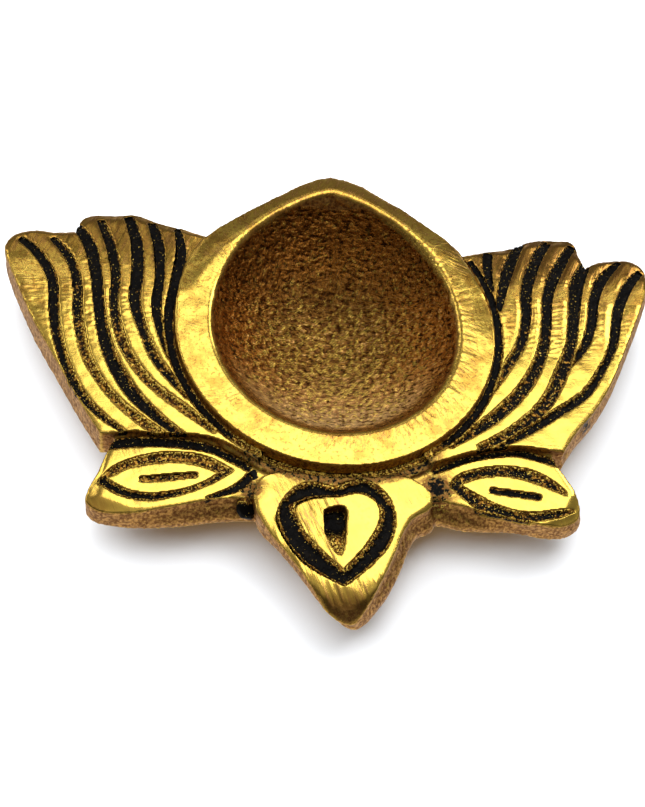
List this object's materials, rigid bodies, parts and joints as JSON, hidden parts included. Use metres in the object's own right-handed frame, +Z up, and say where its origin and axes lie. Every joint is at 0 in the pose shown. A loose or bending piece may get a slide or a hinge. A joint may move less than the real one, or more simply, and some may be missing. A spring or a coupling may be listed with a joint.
{
  "type": "diya oil lamp",
  "caption": "Small cast-brass lotus-shaped oil lamp: a round bowl with a pointed rim, engraved petal wings, leaves and a heart, with black enamel in the engraved lines.",
  "frame": {"origin": "centre of the flat foot, on the surface that the lamp stands on, straight under the centre of the round rim", "axes": "+Z up, +X to the object's right, along its longest extent, +Y to the back, towards the point of the rim"},
  "size_m": [0.0897, 0.0669, 0.012],
  "materials": {
    "brass": "hand-filed flat tops, brown as-cast sides and bowl",
    "enamel": "glossy, rough, worn black"
  },
  "bodies": {
    "root": {"casting": "brass", "ring_line": "enamel", "left_petal_line_1": "enamel", "left_petal_line_2": "enamel", "left_petal_line_3": "enamel", "left_petal_line_4": "enamel", "left_petal_line_5": "enamel", "left_petal_line_6": "enamel", "right_petal_line_1": "enamel", "right_petal_line_2": "enamel", "right_petal_line_3": "enamel", "right_petal_line_4": "enamel", "right_petal_line_5": "enamel", "right_petal_line_6": "enamel", "right_petal_line_7": "enamel", "left_leaf_border": "enamel", "left_leaf_hook": "enamel", "left_leaf_loop": "enamel", "left_leaf_slot": "enamel", "right_leaf_border": "enamel", "right_leaf_loop": "enamel", "right_leaf_slot": "enamel", "heart_loop": "enamel", "heart_slot": "enamel", "corner_dab": "enamel"}
  },
  "joints": []
}
